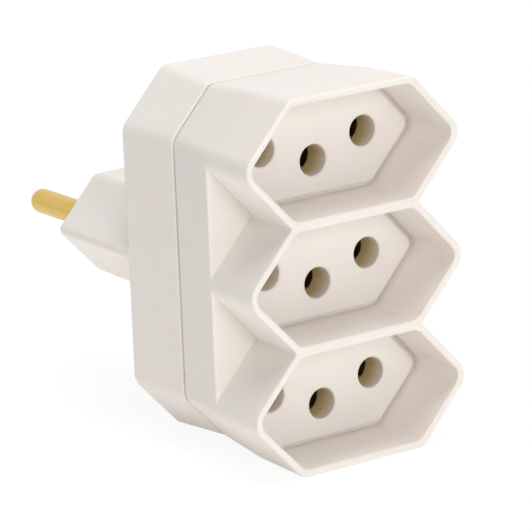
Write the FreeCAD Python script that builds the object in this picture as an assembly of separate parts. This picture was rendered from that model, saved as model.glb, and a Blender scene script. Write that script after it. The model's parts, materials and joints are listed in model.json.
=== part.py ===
import FreeCAD, Part
import math
import os

# A plug-in adapter: one hexagonal plug at the back feeds three stacked hexagonal sockets.
# Sizes are in millimetres. The origin is the middle of the plug's end face, the pins point along +Y,
# the sockets face -Y and the sockets are stacked along Z.

# interface shared by the plug and the three sockets
pin_spacing = 19.0
earth_drop = 3.0
pin_diameter = 4.0
pin_length = 19.0
pin_tip_round = 1.7
socket_hole_diameter = 4.9

# hexagonal recess and the collar round it
socket_count = 3
recess_depth = 10.6
recess_half_height = 8.9
recess_flat = 11.0
flank_angle = math.radians(47.0)
recess_draft = 0.1
recess_round = 2.0
shared_wall = 1.5
rim_wall = 1.1
rim_round = 0.4
rim_chamfer = 0.3
collar_draft = 0.35
collar_tip_round = 3.0
collar_corner_round = 2.0
notch_depth = 11.3
notch_round = 0.5
shoulder_round = 0.4

# housing shells
floor_thickness = 2.4
hole_guide_length = 2.4
hole_guide_wall = 1.2
wall = 2.0
front_shell_depth = 22.1
rear_shell_depth = 13.6
waist_side_margin = 8.1
waist_end_inset = 1.3
waist_flat = 10.5
back_side_margin = 8.8
back_end_inset = 0.3
back_flat = 10.3
back_edge_round = 0.8
seam_gap = 0.55
seam_depth = 0.7
seam_round = 0.25
lip_length = 2.4
lip_wall = 0.9
lip_clearance = 0.1

# plug boss
boss_length = 20.5
boss_draft = 0.5
boss_tip_round = 1.2
plug_clearance = 0.4
boss_wall = 1.8
plug_face_thickness = 2.6
plug_face_round = 0.8
boss_root_round = 0.8
sleeve_wall = 1.6
pin_slip = 0.05
web_thickness = 1.4

# conductors
shank_diameter = 4.6
collar_diameter = 6.4
collar_thickness = 1.4
tenon_diameter = 2.4
rivet_diameter = 2.0
rivet_head_diameter = 3.6
rivet_head_height = 0.5
rivet_slip = 0.04
busbar_thickness = 0.8
busbar_end = 3.6
live_busbar_width = 6.4
earth_busbar_width = 4.8
contact_thickness = 0.5
contact_width = 5.0
contact_pinch_clearance = 0.1
contact_pinch_depth = 4.0
contact_base_spread = 0.7
contact_mouth_spread = 0.7
contact_mouth_clearance = 0.4
seat_diameter = 6.0
rib_thickness = 1.2
rib_clearance = 0.6

# planes and axes that follow from the sizes above
back_y = -boss_length
seam_y = back_y - rear_shell_depth
front_y = seam_y - front_shell_depth
notch_y = front_y + notch_depth
floor_y = front_y + recess_depth
floor_back_y = floor_y + floor_thickness
guide_end_y = floor_back_y + hole_guide_length
back_inside_y = back_y - wall
busbar_y = back_inside_y - collar_thickness
contact_y = busbar_y - busbar_thickness
head_y = contact_y - contact_thickness
socket_pitch = 2 * recess_half_height + shared_wall
socket_zs = [(k - (socket_count - 1) / 2) * socket_pitch for k in range(socket_count)]
collars_half_height = socket_zs[-1] + recess_half_height + rim_wall
waist_half_height = collars_half_height - waist_end_inset
back_half_height = collars_half_height - back_end_inset
waist_half_width = pin_spacing / 2 + waist_side_margin
back_half_width = pin_spacing / 2 + back_side_margin
line_axis = (-pin_spacing / 2, 0.0)
neutral_axis = (pin_spacing / 2, 0.0)
earth_axis = (0.0, -earth_drop)
pole_axes = {"line": line_axis, "neutral": neutral_axis, "earth": earth_axis}
along_y = FreeCAD.Vector(0, 1, 0)


def rounded_outline(corners, y):
    """Closed outline at depth y through (x, z, radius) corners."""
    points = [FreeCAD.Vector(x, y, z) for x, z, _ in corners]
    count = len(points)
    arcs = []
    for i, here in enumerate(points):
        radius = corners[i][2]
        to_before = (points[i - 1] - here).normalize()
        to_after = (points[(i + 1) % count] - here).normalize()
        half_angle = to_before.getAngle(to_after) / 2
        inward = (to_before + to_after).normalize()
        reach = radius / math.tan(half_angle)
        start = here + to_before * reach
        end = here + to_after * reach
        middle = here + inward * (radius / math.sin(half_angle) - radius)
        arcs.append((start, middle, end))
    edges = []
    for i, (start, middle, end) in enumerate(arcs):
        edges.append(Part.Arc(start, middle, end).toShape())
        edges.append(Part.makeLine(end, arcs[(i + 1) % count][0]))
    return Part.Wire(edges)


def loft(*wires):
    """Solid with straight sides through matching outlines."""
    return Part.makeLoft(list(wires), True, True)


def prism(wire, depth):
    """Outline pushed back along Y."""
    return Part.Face(wire).extrude(FreeCAD.Vector(0, depth, 0))


def rod(axis, diameter, start_y, end_y):
    """Cylinder along Y on an (x, z) axis."""
    base = FreeCAD.Vector(axis[0], start_y, axis[1])
    return Part.makeCylinder(diameter / 2, end_y - start_y, base, along_y)


def lifted(axis, z):
    """A pole's axis in the socket at height z."""
    return (axis[0], axis[1] + z)


def hexagon_sizes(grow):
    """Half flat, half height and half width of the recess outline, offset by grow."""
    flat = recess_flat + grow * math.tan(flank_angle / 2)
    height = recess_half_height + grow
    return flat, height, flat + height / math.tan(flank_angle)


def hexagon(y, grow, z, corner_round, tip_round):
    """Hexagonal outline round the socket at height z."""
    flat, height, tip = hexagon_sizes(grow)
    corners = [
        (flat, z + height, corner_round),
        (tip, z, tip_round),
        (flat, z - height, corner_round),
        (-flat, z - height, corner_round),
        (-tip, z, tip_round),
        (-flat, z + height, corner_round),
    ]
    return rounded_outline(corners, y)


def collars(y, grow):
    """Outline round all the hexagonal collars, with a notch between each pair."""
    flat, height, tip = hexagon_sizes(grow)
    notch_x = tip - socket_pitch / 2 / math.tan(flank_angle)
    top = socket_zs[-1] + height
    right = [(flat, top, collar_corner_round)]
    for z in reversed(socket_zs):
        right.append((tip, z, collar_tip_round))
        if z > socket_zs[0]:
            right.append((notch_x, z - socket_pitch / 2, notch_round))
    right.append((flat, -top, collar_corner_round))
    left = [(-x, -z, r) for x, z, r in right]
    return rounded_outline(right + left, y)


def shoulder_sizes():
    """Half width, half height and half flat of the shell just behind the collars."""
    grow = rim_wall - collar_draft
    flat, height, tip = hexagon_sizes(grow)
    blunted = tip - collar_tip_round * (1 / math.sin(flank_angle) - 1)
    return blunted, socket_zs[-1] + height, flat


def shell_sizes(y):
    """Half width, half height and half flat of the shells at depth y."""
    waist = (waist_half_width, waist_half_height, waist_flat)
    if y < seam_y:
        ends = shoulder_sizes(), waist
        share = (y - notch_y) / (seam_y - notch_y)
    else:
        ends = waist, (back_half_width, back_half_height, back_flat)
        share = (y - seam_y) / (back_y - seam_y)
    return [a + (b - a) * share for a, b in zip(*ends)]


def shell_outline(y, inset):
    """Octagonal outline of the shells at depth y, inset from the outer surface."""
    width, height, flat = shell_sizes(y)
    corner_z = height - (width - flat) * math.tan(flank_angle)
    corner_z -= inset * math.tan((math.pi / 2 - flank_angle) / 2)
    width -= inset
    height -= inset
    flat -= inset * math.tan(flank_angle / 2)
    corner_round = max(collar_corner_round - inset, 0.5)
    side_round = max(collar_tip_round - inset, 0.5)
    quarter = [(flat, height, corner_round), (width, corner_z, side_round)]
    right = quarter + [(x, -z, r) for x, z, r in reversed(quarter)]
    left = [(-x, -z, r) for x, z, r in right]
    return rounded_outline(right + left, y)


def edges_on_plane(shape, y):
    """Edges that lie wholly at depth y."""
    return [e for e in shape.Edges
            if abs(e.BoundBox.YMin - y) < 1e-4 and abs(e.BoundBox.YMax - y) < 1e-4]


def socket_recess(z):
    """Space inside one collar, down to the recess floor."""
    mouth = hexagon(front_y, rim_chamfer, z, recess_round, recess_round)
    throat = hexagon(front_y + rim_chamfer, 0, z, recess_round, recess_round)
    floor = hexagon(floor_y, -recess_draft, z, recess_round, recess_round)
    return loft(mouth, throat, floor)


def hole_guides():
    """Short tubes that carry the pin holes on behind the recess floors."""
    diameter = socket_hole_diameter + 2 * hole_guide_wall
    return [rod(lifted(axis, z), diameter, floor_back_y - 0.5, guide_end_y)
            for axis in pole_axes.values() for z in socket_zs]


def pole_ribs():
    """Two partitions that keep the three poles apart."""
    clear_z = waist_half_height - wall
    ribs = []
    for side in (-1, 1):
        x = side * pin_spacing / 4 - rib_thickness / 2
        depth = back_inside_y - rib_clearance - floor_back_y
        corner = FreeCAD.Vector(x, floor_back_y - 0.5, -clear_z)
        ribs.append(Part.makeBox(rib_thickness, depth + 0.5, 2 * clear_z, corner))
    return ribs


def rib_room():
    """What is left of the partitions once they clear the rear shell."""
    inside = wall + rib_clearance
    front = loft(shell_outline(floor_back_y - 0.5, wall - 0.3),
                 shell_outline(seam_y, wall - 0.3))
    rear = loft(shell_outline(seam_y, inside), shell_outline(back_inside_y, inside))
    return front.fuse(rear)


def make_front_housing():
    """Front shell: collars, recess floors with their holes, and an open back."""
    block = loft(collars(front_y, rim_wall), collars(notch_y, rim_wall - collar_draft))
    body = loft(shell_outline(notch_y, 0), shell_outline(seam_y, 0))
    block = block.makeFillet(rim_round, edges_on_plane(block, front_y))
    softened = body.makeFillet(shoulder_round, edges_on_plane(body, notch_y))
    softened = softened.makeFillet(seam_round, edges_on_plane(softened, seam_y))
    roots = prism(collars(notch_y, rim_wall - collar_draft), 2 * shoulder_round).common(body)
    shell = block.fuse([softened, roots]).removeSplitter()
    shell = shell.cut(loft(shell_outline(floor_back_y, wall), shell_outline(seam_y, wall)))
    rebate = lip_length + lip_clearance
    shell = shell.cut(loft(shell_outline(seam_y - rebate, wall - lip_wall - lip_clearance),
                           shell_outline(seam_y, wall - lip_wall - lip_clearance)))
    ribs = pole_ribs()
    ribs = ribs[0].fuse(ribs[1:]).common(rib_room())
    shell = shell.fuse([ribs] + hole_guides())
    for z in socket_zs:
        shell = shell.cut(socket_recess(z))
        for axis in pole_axes.values():
            hole = rod(lifted(axis, z), socket_hole_diameter, floor_y - 1, guide_end_y + 1)
            shell = shell.cut(hole)
    return shell.removeSplitter()


def make_boss_outside():
    """Hexagonal plug, a clearance smaller all round than the recess it would enter."""
    end = hexagon(0, -plug_clearance - boss_draft, 0, recess_round, boss_tip_round)
    root = hexagon(back_y - wall / 2, -plug_clearance, 0, recess_round, boss_tip_round)
    plug = loft(end, root)
    return plug.makeFillet(plug_face_round, edges_on_plane(plug, 0))


def make_boss_inside():
    """Hollow of the plug boss, open towards the sockets."""
    inner_round = max(recess_round - boss_wall, 0.5)
    grow = -plug_clearance - boss_wall
    end = hexagon(-plug_face_thickness, grow - boss_draft, 0, inner_round, inner_round)
    return loft(end, hexagon(back_inside_y, grow, 0, inner_round, inner_round))


def make_pin_sleeves():
    """Three sleeves and the webs that tie them to the boss, as one solid."""
    sleeve_diameter = shank_diameter + 2 * (pin_slip + sleeve_wall)
    start = back_inside_y
    end = -plug_face_thickness / 2
    tip = hexagon_sizes(-plug_clearance)[2]
    web_z = -web_thickness / 2
    corner = FreeCAD.Vector(-tip, start + collar_thickness, web_z)
    sleeves = Part.makeBox(2 * tip, end - start - collar_thickness, web_thickness, corner)
    for axis in pole_axes.values():
        sleeves = sleeves.fuse(rod(axis, sleeve_diameter, start, end))
    return sleeves


def make_busbar_seats():
    """Rings that hold the ends of the busbars off the back wall, clear of the rivet tails."""
    seats = []
    for axis in pole_axes.values():
        for z in socket_zs:
            if z == 0:
                continue
            ring = rod(lifted(axis, z), seat_diameter, busbar_y, back_inside_y + 0.5)
            seats.append(ring.cut(rod(lifted(axis, z), rivet_head_diameter + 0.6, busbar_y,
                                      back_inside_y)))
    return seats


def make_rear_housing():
    """Rear shell with the plug boss, its pin sleeves and the lip that enters the front shell."""
    shell = loft(shell_outline(seam_y + seam_gap, 0), shell_outline(back_y, 0))
    shell = shell.makeFillet(back_edge_round, edges_on_plane(shell, back_y))
    shell = shell.makeFillet(seam_round, edges_on_plane(shell, seam_y + seam_gap))
    neck = loft(shell_outline(seam_y, seam_depth), shell_outline(seam_y + 2 * seam_gap, seam_depth))
    lip_outline = shell_outline(seam_y, wall - lip_wall)
    lip = prism(lip_outline, -lip_length).fuse(prism(lip_outline, 2 * seam_gap))
    shell = shell.fuse([neck, lip, make_boss_outside()]).removeSplitter()
    root = [e for e in edges_on_plane(shell, back_y)
            if abs(e.CenterOfMass.z) < recess_half_height]
    shell = shell.makeFillet(boss_root_round, root)
    lip_hollow = prism(shell_outline(seam_y, wall), -lip_length)
    hollow = loft(shell_outline(seam_y, wall), shell_outline(back_inside_y, wall))
    hollow = hollow.fuse([lip_hollow, make_boss_inside()])
    inside = make_boss_outside().common(make_pin_sleeves())
    shell = shell.cut(hollow).fuse([inside] + make_busbar_seats())
    for axis in pole_axes.values():
        shell = shell.cut(rod(axis, shank_diameter + 2 * pin_slip, back_inside_y - 1, 1))
    return shell.removeSplitter()


def make_pin(axis):
    """Turned pin: rounded tip, shank through its sleeve, collar and a tenon peened over."""
    blade = rod(axis, pin_diameter, 0, pin_length)
    blade = blade.makeFillet(pin_tip_round, edges_on_plane(blade, pin_length))
    shank = rod(axis, shank_diameter, back_inside_y, 0)
    collar = rod(axis, collar_diameter, busbar_y, back_inside_y)
    tenon = rod(axis, tenon_diameter, head_y, busbar_y)
    head = rod(axis, rivet_head_diameter, head_y - rivet_head_height, head_y)
    return blade.fuse([shank, collar, tenon, head]).removeSplitter()


def hole_diameter(z):
    """Clearance hole for the pin's tenon in the middle, or for a rivet at either end."""
    if z == 0:
        return tenon_diameter + 2 * rivet_slip
    return rivet_diameter + 2 * rivet_slip


def make_busbar(axis, width):
    """Flat strip that joins one pole's three contacts to its pin."""
    half = socket_zs[-1] + busbar_end
    x, z = axis
    radius = width / 2 - 0.2
    corners = [
        (x + width / 2, z + half, radius),
        (x + width / 2, z - half, radius),
        (x - width / 2, z - half, radius),
        (x - width / 2, z + half, radius),
    ]
    strip = prism(rounded_outline(corners, contact_y), busbar_thickness)
    for socket_z in socket_zs:
        hole = rod(lifted(axis, socket_z), hole_diameter(socket_z), contact_y - 1, busbar_y + 1)
        strip = strip.cut(hole)
    return strip


def contact_centre_line(axis):
    """Middle of the contact's sheet seen along Z: base, two bowed leaves, flared mouths."""
    x, z = axis
    half = contact_thickness / 2
    pinch = pin_diameter / 2 + contact_pinch_clearance + half
    base_y = contact_y - half
    mouth_y = guide_end_y + contact_mouth_clearance + half
    pinch_y = guide_end_y + contact_pinch_depth
    right = [
        (pinch + contact_base_spread, base_y),
        (pinch, pinch_y),
        (pinch + contact_mouth_spread, mouth_y),
    ]
    left = [(-dx, y) for dx, y in reversed(right)]
    points = [FreeCAD.Vector(x + dx, y, z) for dx, y in left + right]
    return Part.makePolygon(points)


def make_contact(axis, socket_z):
    """Spring contact folded from sheet, opened as far as a plug pin opens it."""
    line = contact_centre_line(lifted(axis, socket_z))
    sheet = Part.Face(line.makeOffset2D(contact_thickness / 2))
    sheet.translate(FreeCAD.Vector(0, 0, -contact_width / 2))
    contact = sheet.extrude(FreeCAD.Vector(0, 0, contact_width))
    hole = rod(lifted(axis, socket_z), hole_diameter(socket_z), head_y - 0.2, contact_y + 0.2)
    return contact.cut(hole)


def make_rivet(axis):
    """Rivet with its head inside the contact and its tail behind the busbar."""
    shank = rod(axis, rivet_diameter, head_y, busbar_y)
    head = rod(axis, rivet_head_diameter, head_y - rivet_head_height, head_y)
    tail = rod(axis, rivet_head_diameter, busbar_y, busbar_y + rivet_head_height)
    return shank.fuse([head, tail]).removeSplitter()


def make_rivets():
    """All six rivets, which are alike."""
    return Part.makeCompound([make_rivet(lifted(axis, z))
                              for axis in pole_axes.values() for z in socket_zs if z != 0])


def build():
    """Every piece by name."""
    pieces = {
        "front_housing": make_front_housing(),
        "rear_housing": make_rear_housing(),
        "contact_rivets": make_rivets(),
    }
    busbar_widths = {"line": live_busbar_width, "neutral": live_busbar_width,
                     "earth": earth_busbar_width}
    for pole, axis in pole_axes.items():
        pieces[pole + "_pin"] = make_pin(axis)
        pieces[pole + "_busbar"] = make_busbar(axis, busbar_widths[pole])
        for place, z in zip(("bottom", "middle", "top"), socket_zs):
            pieces[pole + "_contact_" + place] = make_contact(axis, z)
    return pieces


os.makedirs("parts", exist_ok=True)
for name, shape in build().items():
    shape.exportStep("parts/" + name + ".step")
    print(name, shape.ShapeType, len(shape.Solids), round(shape.Volume, 1), shape.isValid())
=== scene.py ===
import bmesh
import bpy
import json
import math
from mathutils import Matrix, Vector


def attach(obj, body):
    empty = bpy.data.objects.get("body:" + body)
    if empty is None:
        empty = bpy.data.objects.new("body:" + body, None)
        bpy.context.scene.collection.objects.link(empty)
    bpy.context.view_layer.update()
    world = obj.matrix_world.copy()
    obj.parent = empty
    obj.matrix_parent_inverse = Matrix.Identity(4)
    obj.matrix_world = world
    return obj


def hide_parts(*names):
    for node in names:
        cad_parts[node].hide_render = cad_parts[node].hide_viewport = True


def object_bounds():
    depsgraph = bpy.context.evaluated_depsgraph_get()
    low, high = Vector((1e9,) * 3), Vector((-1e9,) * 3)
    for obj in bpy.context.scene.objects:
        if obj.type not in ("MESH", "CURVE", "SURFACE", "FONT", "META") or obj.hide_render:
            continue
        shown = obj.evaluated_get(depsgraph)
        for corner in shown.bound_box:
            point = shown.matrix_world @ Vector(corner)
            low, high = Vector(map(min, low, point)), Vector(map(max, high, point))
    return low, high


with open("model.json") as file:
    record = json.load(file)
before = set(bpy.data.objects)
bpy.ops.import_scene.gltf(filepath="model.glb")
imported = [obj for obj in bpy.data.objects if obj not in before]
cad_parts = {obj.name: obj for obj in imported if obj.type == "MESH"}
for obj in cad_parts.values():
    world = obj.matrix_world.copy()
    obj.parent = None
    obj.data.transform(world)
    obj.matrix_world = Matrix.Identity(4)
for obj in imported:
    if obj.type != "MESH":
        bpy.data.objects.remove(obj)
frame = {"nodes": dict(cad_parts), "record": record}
cadBox = [list(corner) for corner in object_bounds()]
nodes = frame["nodes"]
print("frame loaded:", len(nodes), "nodes")


def mm(value):
    return value / 1000.0


def fromHex(code):   # sRGB hex to the linear values that Blender's sockets want
    parts = [int(code[i:i + 2], 16) / 255 for i in (1, 3, 5)]
    return [c / 12.92 if c <= 0.04045 else ((c + 0.055) / 1.055) ** 2.4 for c in parts] + [1.0]


# settings are the node's own, or the values of sockets by name or number; links feed sockets
def addNode(tree, kind, settings=None, links=None):
    node = tree.nodes.new(kind)
    for name, value in (settings or {}).items():
        if isinstance(name, str) and hasattr(node, name):
            setattr(node, name, value)
        else:
            node.inputs[name].default_value = value
    for name, source in (links or {}).items():
        tree.links.new(source, node.inputs[name])
    return node


def newMaterial(name):
    material = bpy.data.materials.new(name)
    material.use_nodes = True
    material.node_tree.nodes.clear()
    return material, material.node_tree


def dress(piece, material):
    piece.data.materials.clear()
    piece.data.materials.append(material)


def pickOnly(*things):
    bpy.ops.object.select_all(action="DESELECT")
    for thing in things:
        thing.select_set(True)
    bpy.context.view_layer.objects.active = things[0]


def applyModifier(piece, kind, **settings):
    pickOnly(piece)
    bpy.ops.object.modifier_add(type=kind)
    modifier = piece.modifiers[-1]
    for name, value in settings.items():
        setattr(modifier, name, value)
    bpy.ops.object.modifier_apply(modifier=modifier.name)


camera = {   # as the photo was taken: long lens, from the left and a little above
    "azimuth": 35.00,       # degrees round from straight in front, to the left
    "elevation": 15.31,
    "roll": -2.35,
    "target": (13.51, -12.63, -9.50),   # mm, the middle of the picture
    "distance": 646.4,      # mm
    "focalPixels": 4000,
    "pictureWidth": 532,    # pixels
    "sensorWidth": 36,      # mm
    "nearest": 10,          # mm, the reach of what is drawn
    "farthest": 20000,
}


def placeCamera(spec):
    azimuth = math.radians(spec["azimuth"])
    elevation = math.radians(spec["elevation"])
    toObject = Vector((math.sin(azimuth) * math.cos(elevation),
                       math.cos(azimuth) * math.cos(elevation),
                       -math.sin(elevation)))
    turn = toObject.to_track_quat("-Z", "Y").to_matrix().to_4x4()
    turn = turn @ Matrix.Rotation(math.radians(spec["roll"]), 4, "Z")
    bpy.ops.object.camera_add()
    cam = bpy.context.object
    cam.name = "photoCamera"
    place = Vector([mm(v) for v in spec["target"]]) - toObject * mm(spec["distance"])
    cam.matrix_world = Matrix.Translation(place) @ turn
    cam.data.lens = spec["sensorWidth"] * spec["focalPixels"] / spec["pictureWidth"]
    cam.data.sensor_width = spec["sensorWidth"]
    cam.data.clip_start = mm(spec["nearest"])
    cam.data.clip_end = mm(spec["farthest"])
    bpy.context.scene.camera = cam


placeCamera(camera)
print("camera placed")

mounts = frame["record"]["mounts"]
floorMounts = [m for m in mounts if m["name"].endswith("_socket_floor")]
holeMounts = [m for m in mounts if m["name"].endswith("_hole")]

socketFace = {   # finish of a recess floor, in mm
    "halfHeight": 8.82,       # the recess walls, where they meet the floor
    "halfFlat": 10.97,
    "flankDegrees": 47,
    "cornerRound": 2.0,
    "cornerSteps": 5,
    "grooveWidth": 0.55,      # narrow groove along the foot of the wall
    "grooveDepth": 0.8,
    "grooveLean": 0.004,      # keeps its inner side from being quite upright
    "edgeRound": 0.3,         # soft edge between the floor and the groove
    "edgeSteps": 3,
    "mouthChamfer": 0.2,      # soft edge round each pin hole
    "mouthSides": 64,
    "mouthOverlap": 0.05,     # how far a cone's tip goes in past the edge
    "mouthStandOut": 0.25,    # how far a cone reaches out of the floor
    "grooveStandOut": 1.0,    # and how far a groove's cutter does
    "weld": 0.001,            # points closer than this are one
    "flatDegrees": 0.4,       # faces that bend less than this become one
    "smoothDegrees": 14,      # edges that bend more than this stay sharp
}


def selectCorners(cutter, tips):   # the hexagon's two side tips, or else its other corners
    bpy.ops.mesh.select_all(action="DESELECT")
    mesh = bmesh.from_edit_mesh(cutter.data)
    nearTip = 0.9 * max(abs(v.co.x) for v in mesh.verts)
    for v in mesh.verts:
        v.select_set((abs(v.co.x) > nearTip) == tips)
    bmesh.update_edit_mesh(cutter.data)


def makeGrooveCutter(spec):   # a closed ring as wide as the groove and its soft edge
    flank = math.radians(spec["flankDegrees"])
    flat = spec["halfFlat"]
    tip = flat + spec["halfHeight"] / math.tan(flank)
    bpy.ops.mesh.primitive_circle_add(vertices=6, radius=mm(1), fill_type="NGON",
                                      rotation=(math.pi / 2, math.pi / 2, 0))
    bpy.ops.object.transform_apply(rotation=True)
    cutter = bpy.context.object
    bpy.ops.object.mode_set(mode="EDIT")
    # the plain hexagon is stretched to the recess's, first its flats and then its tips
    bpy.ops.transform.resize(value=(2 * flat, 1, spec["halfHeight"] / math.sin(math.pi / 3)))
    selectCorners(cutter, True)
    bpy.ops.transform.resize(value=(tip / (2 * flat), 1, 1))
    bpy.ops.mesh.bevel(offset=mm(spec["cornerRound"] * math.tan(math.pi / 2 - flank)),
                       segments=spec["cornerSteps"], affect="VERTICES")
    selectCorners(cutter, False)
    bpy.ops.mesh.bevel(offset=mm(spec["cornerRound"] * math.tan(flank / 2)),
                       segments=spec["cornerSteps"], affect="VERTICES")
    # bottom of the groove, its inner side, and the soft edge up to the floor
    bpy.ops.mesh.select_all(action="SELECT")
    radius = spec["edgeRound"]
    bpy.ops.mesh.inset(thickness=mm(spec["grooveWidth"]), depth=0, use_even_offset=True)
    bpy.ops.mesh.inset(thickness=mm(spec["grooveLean"]), depth=mm(spec["grooveDepth"] - radius),
                       use_even_offset=True)
    for step in range(spec["edgeSteps"]):
        before, after = [k * math.pi / 2 / spec["edgeSteps"] for k in (step, step + 1)]
        bpy.ops.mesh.inset(thickness=mm(radius * (math.cos(before) - math.cos(after))),
                           depth=mm(radius * (math.sin(after) - math.sin(before))),
                           use_even_offset=True)
    bpy.ops.mesh.delete(type="FACE")
    bpy.ops.mesh.select_all(action="SELECT")
    bpy.ops.mesh.extrude_region_move(
        TRANSFORM_OT_translate={"value": (0, -mm(spec["grooveStandOut"]), 0)})
    bpy.ops.mesh.select_all(action="SELECT")
    bpy.ops.mesh.normals_make_consistent(inside=False)
    bpy.ops.object.mode_set(mode="OBJECT")
    return cutter


def makeMouthCutter(spec, hole):   # a short cone that breaks the edge of one pin hole
    x, y, z = hole["pos_m"]
    mouth = y - mm(hole["dims"]["length_mm"] / 2)
    wide = hole["dims"]["r_mm"] + spec["mouthChamfer"]
    inwards = spec["mouthChamfer"] + spec["mouthOverlap"]
    length = inwards + spec["mouthStandOut"]
    bpy.ops.mesh.primitive_cone_add(
        vertices=spec["mouthSides"], radius1=mm(wide + spec["mouthStandOut"]),
        radius2=mm(wide - inwards), depth=mm(length),
        location=(x, mouth + mm(inwards - length / 2), z), rotation=(-math.pi / 2, 0, 0))
    return bpy.context.object


def makeFaceCutters(spec):   # the grooves and hole mouths of all three sockets, as one object
    bpy.ops.object.select_all(action="DESELECT")
    ring = makeGrooveCutter(spec)
    cutters = []
    for k, floor in enumerate(floorMounts):
        pickOnly(ring)
        if k:
            bpy.ops.object.duplicate()
        x, y, z = floor["pos_m"]
        bpy.context.object.location = (x, y + mm(spec["grooveDepth"]), z)
        cutters.append(bpy.context.object)
    for hole in holeMounts:
        bpy.ops.object.select_all(action="DESELECT")
        cutters.append(makeMouthCutter(spec, hole))
    pickOnly(*cutters)
    bpy.ops.object.join()
    return bpy.context.object


def makeFrontHousing(spec):
    tool = makeFaceCutters(spec)
    piece = bpy.data.objects.new("frontHousingFinished", nodes["front_housing"].data.copy())
    bpy.context.scene.collection.objects.link(piece)
    pickOnly(piece)
    bpy.ops.object.mode_set(mode="EDIT")
    bpy.ops.mesh.select_all(action="SELECT")
    bpy.ops.mesh.remove_doubles(threshold=mm(spec["weld"]))
    bpy.ops.object.mode_set(mode="OBJECT")
    applyModifier(piece, "BOOLEAN", operation="DIFFERENCE", solver="EXACT", object=tool)
    pickOnly(tool)
    bpy.ops.object.delete()
    pickOnly(piece)
    bpy.ops.object.mode_set(mode="EDIT")
    bpy.ops.mesh.select_all(action="SELECT")
    bpy.ops.mesh.dissolve_limited(angle_limit=math.radians(spec["flatDegrees"]))
    bpy.ops.object.mode_set(mode="OBJECT")
    bpy.ops.object.shade_smooth_by_angle(angle=math.radians(spec["smoothDegrees"]))
    applyModifier(piece, "WEIGHTED_NORMAL", keep_sharp=True)   # keeps the flat faces even
    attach(piece, "root")
    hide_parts("front_housing")
    return piece


frontHousing = makeFrontHousing(socketFace)
print("front housing finished:", len(frontHousing.data.polygons), "faces")

mouldedAbs = {
    "body": "#F4EEE9",
    "shade": "#F0E9E2",       # faint flow marks, a little warmer
    "patchMm": 9.0,
    "patchDetail": 2.0,
    "grainMm": 0.35,          # spark-eroded tool, coarser than the real 0.1 mm so that it shows
    "grainDetail": 3.0,
    "grainDepthMm": 0.006,
    "grainStrength": 0.35,
    "roughness": 0.42,
    "roughnessRange": 0.05,   # more or less, with the grain
    "ior": 1.53,
    "milkiness": 0.25,        # light goes through the thin walls and comes out warmer
    "milkyReachMm": 1.2,
    "milkyTint": (1.0, 0.7, 0.45),
    "rub": "#EBD6A4",         # painted reflection: the warm light the brass contacts throw on the walls of the holes
    "rubStart": 0.5,          # mm down the hole where it starts, and where it is full
    "rubFull": 3.0,
    "rubMargin": 0.1,         # mm past the hole's wall and end that still count as the hole
}


def paintedReflectionMask(tree, place, spec):   # where the painted brass reflection goes: rises to 1 along the walls of the pin holes, 0 elsewhere
    hole = {h["name"]: h for h in holeMounts}
    live, earth = hole["middle_neutral_hole"], hole["middle_earth_hole"]
    halfPitch = (hole["top_neutral_hole"]["pos_m"][2] - live["pos_m"][2]) / 2
    mouth = live["pos_m"][1] - mm(live["dims"]["length_mm"] / 2)
    end = mouth + mm(live["dims"]["length_mm"] + spec["rubMargin"])
    reach = mm(live["dims"]["r_mm"] + spec["rubMargin"])
    # the three sockets are folded onto the middle one, and its left half onto its right
    alike = addNode(tree, "ShaderNodeVectorMath", {
        "operation": "WRAP", 1: (1, 1, halfPitch), 2: (-1, -1, -halfPitch)}, {0: place})
    flat = addNode(tree, "ShaderNodeVectorMath", {
        "operation": "MULTIPLY", 1: (1, 0, 1)}, {0: alike.outputs[0]})
    folded = addNode(tree, "ShaderNodeVectorMath", {
        "operation": "ABSOLUTE"}, {0: flat.outputs[0]})
    toLive = addNode(tree, "ShaderNodeVectorMath", {
        "operation": "DISTANCE", 1: (live["pos_m"][0], 0, 0)}, {0: folded.outputs[0]})
    toEarth = addNode(tree, "ShaderNodeVectorMath", {
        "operation": "DISTANCE", 1: (0, 0, earth["pos_m"][2])}, {0: flat.outputs[0]})
    nearest = addNode(tree, "ShaderNodeMath", {
        "operation": "MINIMUM"}, {0: toLive.outputs["Value"], 1: toEarth.outputs["Value"]})
    inside = addNode(tree, "ShaderNodeMath", {
        "operation": "LESS_THAN", 1: reach}, {0: nearest.outputs[0]})
    along = addNode(tree, "ShaderNodeSeparateXYZ", {}, {0: place}).outputs["Y"]
    inFront = addNode(tree, "ShaderNodeMath", {"operation": "LESS_THAN", 1: end}, {0: along})
    marked = addNode(tree, "ShaderNodeMath", {
        "operation": "MULTIPLY"}, {0: inside.outputs[0], 1: inFront.outputs[0]})
    deep = addNode(tree, "ShaderNodeMapRange", {
        "From Min": mouth + mm(spec["rubStart"]), "From Max": mouth + mm(spec["rubFull"])},
        {"Value": along, "To Max": marked.outputs[0]})
    return deep.outputs["Result"]


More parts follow.
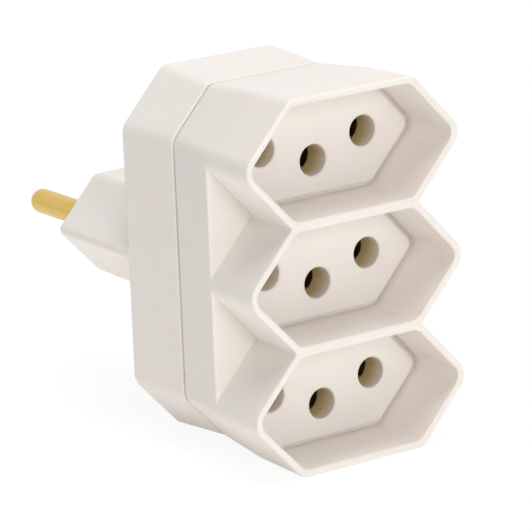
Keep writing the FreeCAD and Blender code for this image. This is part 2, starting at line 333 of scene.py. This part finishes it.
# ABS, injection moulded in a satin tool: even, slightly milky, soft highlights
def makeMouldedAbs(spec):
    material, tree = newMaterial("mouldedAbs")
    place = addNode(tree, "ShaderNodeTexCoord").outputs["Object"]
    flow = addNode(tree, "ShaderNodeTexNoise", {
        "Scale": 1 / mm(spec["patchMm"]), "Detail": spec["patchDetail"]}, {"Vector": place})
    grain = addNode(tree, "ShaderNodeTexNoise", {
        "Scale": 1 / mm(spec["grainMm"]), "Detail": spec["grainDetail"]}, {"Vector": place})
    colour = addNode(tree, "ShaderNodeMix", {
        "data_type": "RGBA", 6: fromHex(spec["body"]), 7: fromHex(spec["shade"])},
        {"Factor": flow.outputs["Fac"]})
    # painted reflection: the hole walls turn lighter and warmer, as if lit by the brass
    # contacts
    reflectionPainted = addNode(tree, "ShaderNodeMix", {
        "data_type": "RGBA", 7: fromHex(spec["rub"])},
        {"Factor": paintedReflectionMask(tree, place, spec), 6: colour.outputs[2]})
    gloss = addNode(tree, "ShaderNodeMapRange", {
        "To Min": spec["roughness"] - spec["roughnessRange"],
        "To Max": spec["roughness"] + spec["roughnessRange"]}, {"Value": grain.outputs["Fac"]})
    bump = addNode(tree, "ShaderNodeBump", {
        "Strength": spec["grainStrength"], "Distance": mm(spec["grainDepthMm"])},
        {"Height": grain.outputs["Fac"]})
    shader = addNode(tree, "ShaderNodeBsdfPrincipled", {
        "IOR": spec["ior"],
        "Subsurface Weight": spec["milkiness"],
        "Subsurface Scale": mm(spec["milkyReachMm"]),
        "Subsurface Radius": spec["milkyTint"]}, {
        "Base Color": reflectionPainted.outputs[2],
        "Roughness": gloss.outputs["Result"],
        "Normal": bump.outputs["Normal"]})
    addNode(tree, "ShaderNodeOutputMaterial", {}, {"Surface": shader.outputs[0]})
    return material


turnedBrass = {
    "metal": "#E3C878",
    "tarnish": "#C9A451",
    "stainMm": 4.0,
    "stainDetail": 3.0,
    "ringMm": 0.35,           # tool marks round the pin, coarser than the real 0.1 mm
    "ringDetail": 2.0,
    "ringDepthMm": 0.004,
    "ringStrength": 0.5,
    "ringStretch": 0.05,      # across the pin they hardly change
    "roughness": (0.24, 0.38),   # bright, and where tarnished
}


# free-cutting brass, turned on a lathe along Y and left bare: bright, with fine rings
def makeTurnedBrass(spec):
    material, tree = newMaterial("turnedBrass")
    place = addNode(tree, "ShaderNodeTexCoord").outputs["Object"]
    along = addNode(tree, "ShaderNodeMapping", {
        "Scale": (spec["ringStretch"], 1.0, spec["ringStretch"])}, {"Vector": place})
    rings = addNode(tree, "ShaderNodeTexNoise", {
        "Scale": 1 / mm(spec["ringMm"]), "Detail": spec["ringDetail"]},
        {"Vector": along.outputs["Vector"]})
    stain = addNode(tree, "ShaderNodeTexNoise", {
        "Scale": 1 / mm(spec["stainMm"]), "Detail": spec["stainDetail"]}, {"Vector": place})
    colour = addNode(tree, "ShaderNodeMix", {
        "data_type": "RGBA", 6: fromHex(spec["metal"]), 7: fromHex(spec["tarnish"])},
        {"Factor": stain.outputs["Fac"]})
    gloss = addNode(tree, "ShaderNodeMapRange", {
        "To Min": spec["roughness"][0], "To Max": spec["roughness"][1]},
        {"Value": stain.outputs["Fac"]})
    bump = addNode(tree, "ShaderNodeBump", {
        "Strength": spec["ringStrength"], "Distance": mm(spec["ringDepthMm"])},
        {"Height": rings.outputs["Fac"]})
    shader = addNode(tree, "ShaderNodeBsdfPrincipled", {"Metallic": 1.0}, {
        "Base Color": colour.outputs[2],
        "Roughness": gloss.outputs["Result"],
        "Normal": bump.outputs["Normal"]})
    addNode(tree, "ShaderNodeOutputMaterial", {}, {"Surface": shader.outputs[0]})
    return material


rolledBrass = {
    "metal": "#CFA457",
    "tarnish": "#9C7434",
    "lineMm": 0.25,
    "lineDetail": 2.0,
    "lineDepthMm": 0.004,
    "lineStrength": 0.4,
    "lineStretch": 0.04,      # along Y, the way the strip was rolled, they hardly change
    "roughness": 0.36,
}


# spring brass strip, rolled: faint lines run one way, and it is duller than the pins
def makeRolledBrass(spec):
    material, tree = newMaterial("rolledBrass")
    place = addNode(tree, "ShaderNodeTexCoord").outputs["Object"]
    along = addNode(tree, "ShaderNodeMapping", {
        "Scale": (1.0, spec["lineStretch"], 1.0)}, {"Vector": place})
    lines = addNode(tree, "ShaderNodeTexNoise", {
        "Scale": 1 / mm(spec["lineMm"]), "Detail": spec["lineDetail"]},
        {"Vector": along.outputs["Vector"]})
    colour = addNode(tree, "ShaderNodeMix", {
        "data_type": "RGBA", 6: fromHex(spec["metal"]), 7: fromHex(spec["tarnish"])},
        {"Factor": lines.outputs["Fac"]})
    bump = addNode(tree, "ShaderNodeBump", {
        "Strength": spec["lineStrength"], "Distance": mm(spec["lineDepthMm"])},
        {"Height": lines.outputs["Fac"]})
    shader = addNode(tree, "ShaderNodeBsdfPrincipled", {
        "Metallic": 1.0, "Roughness": spec["roughness"]},
        {"Base Color": colour.outputs[2], "Normal": bump.outputs["Normal"]})
    addNode(tree, "ShaderNodeOutputMaterial", {}, {"Surface": shader.outputs[0]})
    return material


housingPlastic = makeMouldedAbs(mouldedAbs)
pinMetal = makeTurnedBrass(turnedBrass)
stripMetal = makeRolledBrass(rolledBrass)
dress(frontHousing, housingPlastic)
for name, node in nodes.items():
    if name.endswith("housing"):
        dress(node, housingPlastic)
    elif name.endswith("_pin"):
        dress(node, pinMetal)
    else:
        dress(node, stripMetal)
print("materials made")

studio = {
    "tableZ": cadBox[0][2] * 1000 - 0.02,   # mm, just under the adapter
    "tableSize": 3000,
    "paper": "#FAF9F7",
    "worldLight": 0.24,
    "tableGlow": 0.19,    # a light table: the paper lets some light through from below
    "seenGlow": 0.88,     # what the camera sees of it, white but for a faint shadow
    "seenPaper": (0.16, 0.16, 0.16, 1),
}


def makeTable(spec):
    bpy.ops.object.select_all(action="DESELECT")
    bpy.ops.mesh.primitive_plane_add(size=mm(spec["tableSize"]),
                                     location=(0, 0, mm(spec["tableZ"])))
    table = bpy.context.object
    table.name = "paperSweep"
    material, tree = newMaterial("whitePaper")
    seen = addNode(tree, "ShaderNodeLightPath").outputs["Is Camera Ray"]
    paper = addNode(tree, "ShaderNodeMix", {
        "data_type": "RGBA", 6: fromHex(spec["paper"]), 7: spec["seenPaper"]}, {"Factor": seen})
    through = addNode(tree, "ShaderNodeMapRange", {
        "To Min": spec["tableGlow"], "To Max": spec["seenGlow"]}, {"Value": seen})
    surface = addNode(tree, "ShaderNodeBsdfDiffuse", {}, {"Color": paper.outputs[2]})
    glow = addNode(tree, "ShaderNodeEmission", {}, {"Strength": through.outputs["Result"]})
    both = addNode(tree, "ShaderNodeAddShader", {}, {0: surface.outputs[0], 1: glow.outputs[0]})
    addNode(tree, "ShaderNodeOutputMaterial", {}, {"Surface": both.outputs[0]})
    dress(table, material)


def lightWorld(spec):   # white to the camera and in reflections, dimmer as a light
    world = bpy.context.scene.world or bpy.data.worlds.new("studioWorld")
    bpy.context.scene.world = world
    world.use_nodes = True
    tree = world.node_tree
    tree.nodes.clear()
    rays = addNode(tree, "ShaderNodeLightPath")
    mirror = addNode(tree, "ShaderNodeMath", {"operation": "MAXIMUM"}, {
        0: rays.outputs["Is Camera Ray"], 1: rays.outputs["Is Glossy Ray"]})
    shown = addNode(tree, "ShaderNodeMath", {"operation": "MAXIMUM"}, {
        0: mirror.outputs[0], 1: rays.outputs["Is Transmission Ray"]})
    strength = addNode(tree, "ShaderNodeMapRange", {
        "To Min": spec["worldLight"], "To Max": 1.0}, {"Value": shown.outputs[0]})
    sky = addNode(tree, "ShaderNodeBackground", {
        "Color": (1, 1, 1, 1)}, {"Strength": strength.outputs["Result"]})
    addNode(tree, "ShaderNodeOutputWorld", {}, {"Surface": sky.outputs[0]})


lamps = [   # places and sizes in mm
    {"name": "topSoftbox", "place": (40, -80, 1000), "size": 800, "watts": 7.4},
    {"name": "frontSoftbox", "place": (-270, -1250, 380), "size": 500, "watts": 5.6},
]
lampTarget = (0, -35, 0)   # mm, the middle of the body


def addLamp(spec, target):
    bpy.ops.object.light_add(type="AREA", location=[mm(v) for v in spec["place"]])
    lamp = bpy.context.object
    lamp.name = spec["name"]
    lamp.data.size = mm(spec["size"])
    lamp.data.energy = spec["watts"]
    aim = Vector([mm(v) for v in target]) - lamp.location
    lamp.rotation_euler = aim.to_track_quat("-Z", "Y").to_euler()


makeTable(studio)
lightWorld(studio)
for lamp in lamps:
    addLamp(lamp, lampTarget)
bpy.context.scene.view_settings.view_transform = "Standard"
print("studio made")
